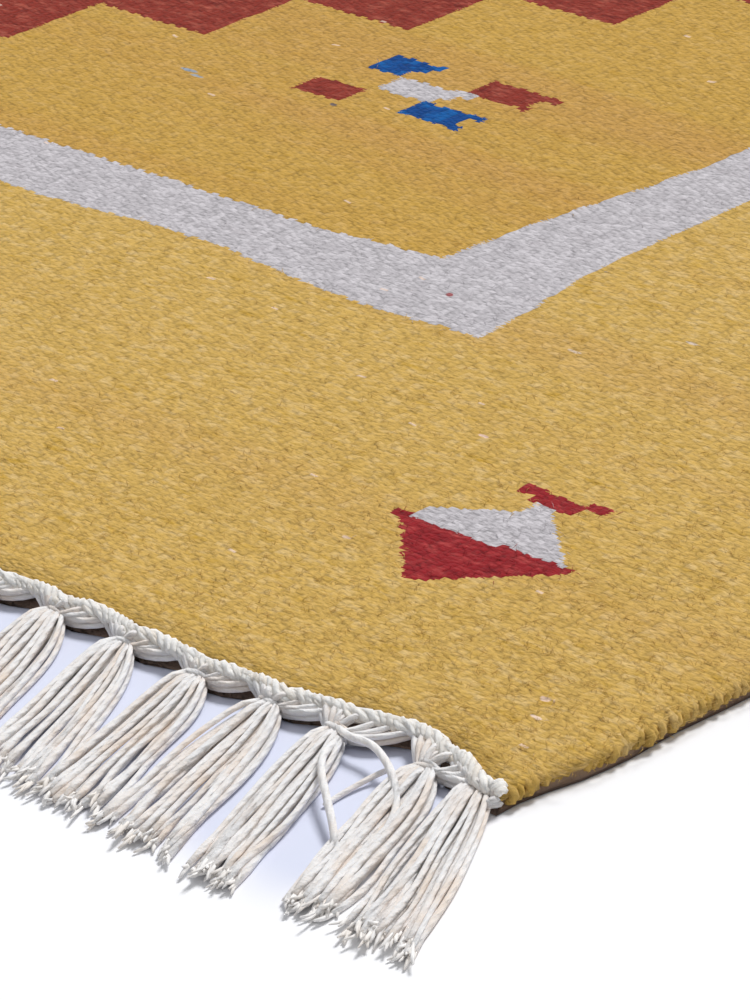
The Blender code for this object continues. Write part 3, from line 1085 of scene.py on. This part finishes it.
@dataclass
class Tassels:
    """The fringe of one end: warps drawn along the heading into knotted tassels that lean and fray."""

    outline: RugOutline
    heading: Heading
    end: End
    yarn: float = 0.69
    drawn_steps: int = 5
    steps: int = 14
    sides: int = 5
    spread: float = 8.0
    flare: float = 1.6
    corner_spreads: tuple[float, ...] = (8.0, 8.6, 7.4, 8.6, 6.6, 7.2, 6.4)
    corner_flares: tuple[float, ...] = (1.2, 2.4, 0.6, 2.0, -0.6, -1.6, 2.4)
    neck: float = 2.1
    last_neck: float = 3.0
    seed: int = 47
    base_row: tuple[float, ...] = (-1.0, -0.83, -0.66, -0.49, -0.31, -0.13, 0.06, 0.25, 0.44, 0.63, 0.82, 1.0)
    top_row: tuple[float, ...] = (-0.92, -0.6, -0.36, -0.04, 0.3, 0.56, 0.9)
    drawn: tuple[tuple[float, float, float], ...] = (
        (-7.4, 0.7, 3.4), (-6.4, 1.1, 3.0), (-5.2, 0.9, 3.7), (-4.0, 1.3, 3.1), (-2.4, 1.3, 3.6),
        (-0.8, 1.5, 4.0), (1.5, 1.5, 3.9), (4.5, 1.3, 3.6), (7.5, 1.0, 3.4), (9.5, 0.9, 3.0),
        (11.0, 0.8, 3.3), (12.5, 0.9, 2.9), (-5.6, 0.5, 4.2), (-3.4, 0.7, 4.4), (-1.4, 1.0, 4.6),
        (2.4, 1.0, 4.6), (5.8, 0.9, 4.2), (8.6, 0.8, 3.9), (11.8, 0.7, 3.7),
    )
    low_run: float = 2.2
    pile_places: tuple[float, ...] = (0.0, 0.08, 0.25, 0.5, 1.0)
    pile_heights: tuple[float, ...] = (1.2, 1.8, 1.6, 1.2, 0.8)
    bed_places: tuple[float, ...] = (0.0, 0.08, 0.25, 1.0)
    bed_heights: tuple[float, ...] = (1.3, 1.4, 0.9, 0.7)
    girth_steps: tuple[float, ...] = (-5, -4, 0, 2, 11, 13.2, 14)
    girth: tuple[float, ...] = (0.7, 1.0, 0.95, 1.0, 1.0, 1.15, 1.0)
    tie_loops: tuple[tuple[float, float, float], ...] = ((1.2, 3.1, 1.7), (0.1, 2.9, 1.5))
    tie_height: float = 1.8
    tie_yarn: float = 0.78
    stray_steps: int = 22

    def paths(self, rng: np.random.Generator) -> np.ndarray:
        """Lay out every yarn, from the heading through the knot to its tip.

        Args:
            rng: The source of the yarns' unevenness.

        Returns:
            The middle lines, shaped yarns by steps by 3.
        """
        rows = np.array([(q, 0.0) for q in self.base_row] + [(q, 1.0) for q in self.top_row])
        tassels, yarns = len(self.outline.knots), len(rows)
        shape = (tassels, yarns, 1)
        s = np.linspace(0, 1, self.steps) ** 1.3
        knot = self.outline.knots[:, None, None, :]
        tip = self.outline.tips[:, None, None, :]
        share = rows[:, 0][None, :, None] + rng.uniform(-0.09, 0.09, shape)
        layer = rows[:, 1][None, :, None]
        corner = len(self.corner_spreads)
        wide = self.spread * rng.uniform(0.9, 1.1, (tassels, 1, 1))
        wide[-corner:, 0, 0] = self.corner_spreads
        flare = self.flare * rng.uniform(0.2, 1.8, (tassels, 1, 1))
        flare[-corner:, 0, 0] = self.corner_flares
        neck = np.full((tassels, 1, 1), self.neck)
        neck[-1] = self.last_neck
        half = neck + (wide - neck) * (1 - np.exp(-s / 0.15)) + flare * s * s
        turns = s * rng.uniform(0.5, 1.5, shape) + rng.uniform(0, 1, shape)
        wander = rng.uniform(0.3, 1.2, shape) * np.sin(turns * TURN)
        middle = knot[..., 0] + (tip[..., 0] - knot[..., 0]) * s
        x = middle + share * half + wander * s
        start = knot[..., 1] + 0.4
        finish = tip[..., 1] + rng.uniform(-1.5, 3.5, shape)
        y = start + (finish - start) * s
        pile = np.interp(s, self.pile_places, self.pile_heights)
        bed = np.interp(s, self.bed_places, self.bed_heights)
        z = bed + layer * pile + rng.uniform(0.0, 0.35, shape)
        x, y, z = np.broadcast_arrays(x, y, z)

        back = np.linspace(1, 0, self.drawn_steps, endpoint=False)
        drawn = np.array(self.drawn)
        away = drawn[:, 0][None, :, None] * rng.uniform(0.85, 1.15, (tassels, 1, 1)) * back
        from_x = np.clip(x[..., :1] + away, self.heading.first_x - 1, self.heading.last_x + 2.5)
        strip = self.heading.line_at(knot[..., 0] + drawn[:, 0][None, :, None]) - drawn[:, 1][None, :, None]
        far = (drawn[:, 0] > 3)[None, :, None]
        ease = np.where(far, back**self.low_run, back**1.2)
        from_y = y[..., :1] + (strip - y[..., :1]) * ease - far * np.sin(back * np.pi) * 0.5
        climb = np.where(far, back**1.6, np.minimum(1, back * 1.5))
        from_z = z[..., :1] + (drawn[:, 2][None, :, None] - z[..., :1]) * climb
        led = np.broadcast_arrays(from_x, from_y, from_z)
        joined = [np.concatenate(pair, axis=-1) for pair in zip(led, (x, y, z))]
        return np.stack(joined, axis=-1).reshape(tassels * yarns, -1, 3)

    def make(self, material: bpy.types.Material) -> list[bpy.types.Object]:
        """Make the fringe.

        Args:
            material: Cotton yarn.

        Returns:
            The yarns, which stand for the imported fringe.
        """
        rng = np.random.default_rng(self.seed)
        paths = self.paths(rng)
        count, steps, _ = paths.shape
        part = np.linspace(-self.drawn_steps, self.steps, steps)
        profile = np.interp(part, self.girth_steps, self.girth)
        radii = self.yarn * profile * rng.uniform(0.84, 1.16, (count, 1))
        radii[:, -3:] *= rng.uniform(0.8, 1.25, (count, 3))
        paths[..., 2] = np.maximum(paths[..., 2], radii + 0.03)
        seeds = rng.uniform(0, 400, (count, 1, 1))
        bundle = Bundle()
        bundle.tubes(paths, radii, np.broadcast_to(seeds, (count, steps, 2)), self.sides)
        self.ties(bundle, rng)
        if self.end is End.NEAR:
            self.strays(bundle)
        piece = bundle.make(f"tassels_{self.end.word}", material, "cotton_fringe", self.end.value)
        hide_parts(f"fringe_{self.end.word}")
        return piece

    def ties(self, bundle: Bundle, rng: np.random.Generator) -> None:
        """Pass one yarn over the neck of each tassel, where it is knotted."""
        knots = self.outline.knots
        count = len(knots)
        angle = np.radians(np.linspace(200, -20, 9))
        for offset, wide, tall in self.tie_loops:
            lean = rng.uniform(-0.9, 1.2, (count, 1))
            x = knots[:, :1] + wide * np.cos(angle) * rng.uniform(0.9, 1.1, (count, 1))
            y = knots[:, 1:2] + offset + lean * np.cos(angle)
            z = self.tie_height + tall * np.sin(angle) * rng.uniform(0.9, 1.1, (count, 1))
            radii = np.full((count, 9), self.tie_yarn) * rng.uniform(0.85, 1.15, (count, 1))
            place = np.broadcast_to(rng.uniform(0, 90, (count, 1, 1)), (count, 9, 2))
            bundle.tubes(np.stack([x, y, z], axis=-1), radii, place, 5, (0.0, 1.0, 0.0))

    def strays(self, bundle: Bundle) -> None:
        """Add the yarns near the corner that have slipped out of their tassel."""
        runs = (
            (((51.5, -4.5, 3.4), (46, -6.5, 4.3), (40, -6.6, 4.6), (34, -8.6, 4.2), (28, -12, 3.4),
              (21, -18, 2.4), (16, -26, 1.6)), 0.85),
            (((48.5, -7, 3.0), (44, -15, 4.6), (38, -21, 4.8), (32, -25.5, 4.2), (24.5, -31, 3.0),
              (19, -35.5, 1.2)), 0.85),
            (((33, -8.5, 2.2), (34.5, -12, 1.4), (35, -18, 0.8), (34.5, -24, 0.7)), 0.6),
        )
        for knots, radius in runs:
            points = np.array(knots)
            points[:, 0] = self.outline.half_width - points[:, 0]
            points[:, 1] -= self.outline.half_length
            path = smooth_path(points, self.stray_steps)[None]
            radii = np.full((1, self.stray_steps), radius)
            bundle.tubes(path, radii, np.full((1, self.stray_steps, 2), 12.0 + radius), self.sides)


@dataclass
class Frays:
    """The loose fibre into which the yarns of one fringe open at their tips."""

    tassels: Tassels
    plies: int = 3
    ply_length: tuple[float, float] = (2.6, 5.0)
    ply_radius: float = 0.46
    ply_sides: int = 4
    ply_profile: tuple[float, ...] = (0.8, 1.0, 0.95, 0.5)
    hairs: int = 3
    hair_length: tuple[float, float] = (1.2, 3.2)
    hair_radius: float = 0.09
    splay: tuple[float, float, float] = (0.26, 0.2, 0.2)
    top: float = 3.0
    seed: int = 91

    def make(self, material: bpy.types.Material) -> bpy.types.Object:
        """Make the frayed tips.

        Args:
            material: Cotton fibre.

        Returns:
            The piece.
        """
        paths = self.tassels.paths(np.random.default_rng(self.tassels.seed))
        rng = np.random.default_rng(self.seed)
        bundle = Bundle()
        plies, seeds = self.open_out(rng, paths, self.plies, self.ply_length, self.ply_radius, 2.2)
        share = np.linspace(0, 1, len(self.ply_profile))[:, None]
        root, bend, tip = (plies[:, None, step] for step in range(3))
        curved = root * (1 - share) ** 2 + bend * 2 * share * (1 - share) + tip * share**2
        radii = self.ply_radius * np.array(self.ply_profile) * rng.uniform(0.7, 1.25, (len(plies), 1))
        places = np.broadcast_to(seeds[:, None], (*radii.shape, 2))
        bundle.tubes(curved, radii, places, self.ply_sides, (0.02, 0.03, 1.0))
        hairs, seeds = self.open_out(rng, paths, self.hairs, self.hair_length, self.hair_radius, 6.0)
        bundle.fibres(hairs, self.hair_radius * rng.uniform(0.7, 1.5, len(hairs)), seeds)
        word, turn = self.tassels.end.word, self.tassels.end.value
        return bundle.make(f"frays_{word}", material, "cotton_fringe", turn)

    def open_out(
        self,
        rng: np.random.Generator,
        paths: np.ndarray,
        each: int,
        lengths: tuple[float, float],
        radius: float,
        back: float,
    ) -> tuple[np.ndarray, np.ndarray]:
        """Splay fibre from the tip of every yarn.

        Args:
            rng: The source of its unevenness.
            paths: The yarns' middle lines.
            each: How many fibres a yarn has.
            lengths: The shortest and the longest.
            radius: Their radius.
            back: How far up the yarn they start.

        Returns:
            The root, bend and tip of each, and its place on its thread.
        """
        last = np.repeat(paths[:, -1], each, axis=0)
        way = np.repeat(paths[:, -1] - paths[:, -3], each, axis=0)
        way /= np.linalg.norm(way, axis=1, keepdims=True)
        count = len(last)
        root = last - way * (rng.uniform(0.1, 1.0, (count, 1)) * back) + rng.normal(0, 0.25, (count, 3))
        length = rng.uniform(*lengths, (count, 1))
        splay = rng.normal(0, 1, (count, 3)) * np.array(self.splay)
        bend = root + (way + splay * 0.2) * length * 0.5
        tip = root + (way + splay) * length
        fibre = np.stack([root, bend, tip], axis=1)
        fibre[..., 2] = np.clip(fibre[..., 2], radius * 1.2 + 0.05, self.top)
        seeds = np.repeat(rng.uniform(0, 400, (len(paths), 1)), each, axis=0)
        return fibre, np.broadcast_to(seeds, (count, 2))


def smooth_path(points: np.ndarray, steps: int) -> np.ndarray:
    """Run a smooth curve through points.

    Args:
        points: The points, one a row.
        steps: How many points the curve has.

    Returns:
        The curve.
    """
    padded = np.concatenate([2 * points[:1] - points[1:2], points, 2 * points[-1:] - points[-2:-1]])
    at = np.linspace(0, len(points) - 1 - 1e-6, steps)
    whole = at.astype(int)
    f = (at - whole)[:, None]
    a, b, c, d = (padded[whole + shift] for shift in range(4))
    return 0.5 * (2 * b + (c - a) * f + (2 * a - 5 * b + 4 * c - d) * f**2 + (3 * b - a - 3 * c + d) * f**3)


@dataclass
class WoolFuzz:
    """Loose fibre that stands off the wool, thicker towards the near right corner and along the selvedges."""

    outline: RugOutline
    cloth: Cloth
    radius: float = 0.055
    length: tuple[float, float] = (1.6, 4.2)
    seed: int = 71
    face_count: int = 5000
    corner_count: int = 9500
    edge_count: int = 9500

    def make(self, material: bpy.types.Material) -> list[bpy.types.Object]:
        """Make the fibre.

        Args:
            material: Loose wool.

        Returns:
            One piece for the whole face, one for the near right corner and one for the selvedges.
        """
        rng = np.random.default_rng(self.seed)
        half = np.array([self.outline.half_width, self.outline.half_length]) - 3
        face = rng.uniform(-1, 1, (self.face_count, 2)) * half
        corner = half - rng.exponential(1.0, (self.corner_count, 2)) * np.array([150.0, 130.0])
        corner = corner[(corner > -half).all(axis=1)] * np.array([1.0, -1.0])
        pieces = [self.grow(rng, "wool_fuzz_face", face, material)]
        pieces.append(self.grow(rng, "wool_fuzz_corner", corner, material))
        pieces.append(self.grow_at_selvedges(rng, material))
        return pieces

    def grow(
        self, rng: np.random.Generator, name: str, roots: np.ndarray, material: bpy.types.Material
    ) -> bpy.types.Object:
        """Stand fibre on the face of the cloth.

        Args:
            rng: The source of its unevenness.
            name: The piece's name.
            roots: Where the fibres start.
            material: Loose wool.

        Returns:
            The piece.
        """
        count = len(roots)
        z = self.cloth.height_at(roots[:, 0], roots[:, 1]) - 0.1
        way = np.radians(-38) + rng.normal(0, 0.6, count) + np.pi * rng.integers(0, 2, count)
        climb = rng.uniform(0.05, 0.5, count)
        length = rng.uniform(*self.length, count)
        root = np.column_stack([roots, z])
        run = np.column_stack([np.cos(way), np.sin(way), climb])
        bend = root + run * (length * 0.5)[:, None] + np.array([0, 0, 0.12])
        curl = np.column_stack([-np.sin(way), np.cos(way), np.zeros(count)]) * rng.normal(0, 0.5, (count, 1))
        tip = root + run * length[:, None] * np.array([1, 1, 0.6]) + curl
        bundle = Bundle()
        bundle.fibres(np.stack([root, bend, tip], axis=1), self.radius * rng.uniform(0.7, 1.4, count), roots)
        return bundle.make(name, material, "wool_flatweave")

    def grow_at_selvedges(
        self, rng: np.random.Generator, material: bpy.types.Material
    ) -> bpy.types.Object:
        """Stand fibre on both selvedges.

        Args:
            rng: The source of its unevenness.
            material: Loose wool.

        Returns:
            The piece.
        """
        count = self.edge_count
        half = self.outline.half_length - 3
        y = rng.uniform(-half, half, count)
        slope = rng.uniform(-0.1, 1.4, count)
        edge = self.outline.side_at(y)
        root = np.column_stack([edge - 2.2 + 2.4 * np.cos(slope), y, 2.4 + 2.3 * np.sin(slope)])
        out = np.column_stack([np.cos(slope), rng.normal(0, 0.8, count), np.sin(slope) * 0.6])
        length = rng.uniform(0.8, 2.6, count)[:, None]
        bend = root + out * length * 0.5
        tip = root + out * length * np.array([0.8, 1.3, 0.7])
        fibre = np.stack([root, bend, tip], axis=1)
        fibre[..., 2] = np.maximum(fibre[..., 2], 0.1)
        turn = np.where(rng.uniform(size=count) < 0.5, 1.0, -1.0)
        fibre[..., :2] *= turn[:, None, None]
        bundle = Bundle()
        bundle.fibres(fibre, self.radius * rng.uniform(0.7, 1.4, count), root[:, :2] * turn[:, None])
        return bundle.make("wool_fuzz_edges", material, "wool_flatweave")


@dataclass
class Studio:
    """The floor, the soft light from above and the left, and the camera where the photograph was taken."""

    camera_place: tuple[float, float, float] = (1.0640, -1.3260, 0.4565)
    lens: float = 183.8
    pitch: float = 24.8027
    yaw: float = 48.6342
    roll: float = -4.8186
    key_power: float = 2.72
    key_spread: float = 19.0
    key_from: tuple[float, float, float] = (-0.2, 1.0, 1.3)
    sky: Colour = (0.94, 0.96, 1.0, 1.0)
    sky_power: float = 0.42
    floor_half: float = 4.0

    def make(self) -> None:
        """Make all of it."""
        self.floor()
        self.light()
        self.camera()
        bpy.context.scene.view_settings.view_transform = "Standard"

    def floor(self) -> None:
        """Lay the floor just under the rug."""
        h = self.floor_half
        mesh = bpy.data.meshes.new("floor")
        mesh.from_pydata([(-h, -h, 0), (h, -h, 0), (h, h, 0), (-h, h, 0)], [], [(0, 1, 2, 3)])
        mesh.materials.append(PaleFloor().material())
        floor = bpy.data.objects.new("floor", mesh)
        bpy.context.scene.collection.objects.link(floor)

    def light(self) -> None:
        """Hang the soft light and set the pale surroundings."""
        lamp = bpy.data.lights.new("soft_light", "SUN")
        lamp.energy = self.key_power
        lamp.angle = math.radians(self.key_spread)
        hung = bpy.data.objects.new("soft_light", lamp)
        hung.rotation_euler = Vector(self.key_from).to_track_quat("Z", "Y").to_euler()
        hung.location = Vector(self.key_from) * 2
        bpy.context.scene.collection.objects.link(hung)
        world = bpy.data.worlds.new("pale_room")
        world.use_nodes = True
        shade = next(node for node in world.node_tree.nodes if node.type == "BACKGROUND")
        shade.inputs["Color"].default_value = self.sky
        shade.inputs["Strength"].default_value = self.sky_power
        bpy.context.scene.world = world

    def camera(self) -> None:
        """Set the camera at the photograph's place, turned and rolled as it was."""
        pitch, yaw, roll = (math.radians(angle) for angle in (self.pitch, self.yaw, self.roll))
        level = Vector((math.cos(yaw), math.sin(yaw), 0))
        ahead = Vector((-math.sin(yaw), math.cos(yaw), 0))
        look = ahead * math.cos(pitch) - Vector((0, 0, math.sin(pitch)))
        lift = ahead * math.sin(pitch) + Vector((0, 0, math.cos(pitch)))
        right = level * math.cos(roll) + lift * math.sin(roll)
        above = lift * math.cos(roll) - level * math.sin(roll)
        lens = bpy.data.cameras.new("photograph")
        lens.lens = self.lens
        lens.clip_start = 0.01
        camera = bpy.data.objects.new("photograph", lens)
        turned = Matrix((right, above, -look)).transposed().to_4x4()
        camera.matrix_world = Matrix.Translation(self.camera_place) @ turned
        bpy.context.scene.collection.objects.link(camera)
        bpy.context.scene.camera = camera


def main() -> None:
    """Build the rug piece by piece, then the studio round it."""
    logging.basicConfig(level=logging.INFO, format="%(name)s %(message)s")
    design = KilimDesign()
    outline = RugOutline()
    cloth = Cloth(outline)
    woven = WovenWool(design).material()
    turned = WoolYarn(design, "selvedge_wool", 1.0).material()
    # painted highlight: loose wool is painted lighter by its light factor of 1.1
    loose = WoolYarn(design, "loose_wool", 1.1, 0.0).material()
    cotton = CottonYarn("tassel_cotton").material()
    twined = CottonYarn("heading_cotton", srgb(253, 248, 240), srgb(248, 234, 216)).material()
    frayed = CottonYarn(
        "frayed_cotton", srgb(252, 249, 246), srgb(246, 236, 224), relief=0.1, soft=0.1
    ).material()

    sheet = cloth.make(woven)
    carried = [Selvedge(outline, side).make(turned) for side in Side]
    for end in End:
        heading = Heading(outline, end)
        tassels = Tassels(outline, heading, end)
        carried += [heading.make(twined), tassels.make(cotton), Frays(tassels).make(frayed)]
    carried += WoolFuzz(outline, cloth).make(loose)
    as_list(carried)
    Studio().make()


if __name__ == "__main__":
    main()
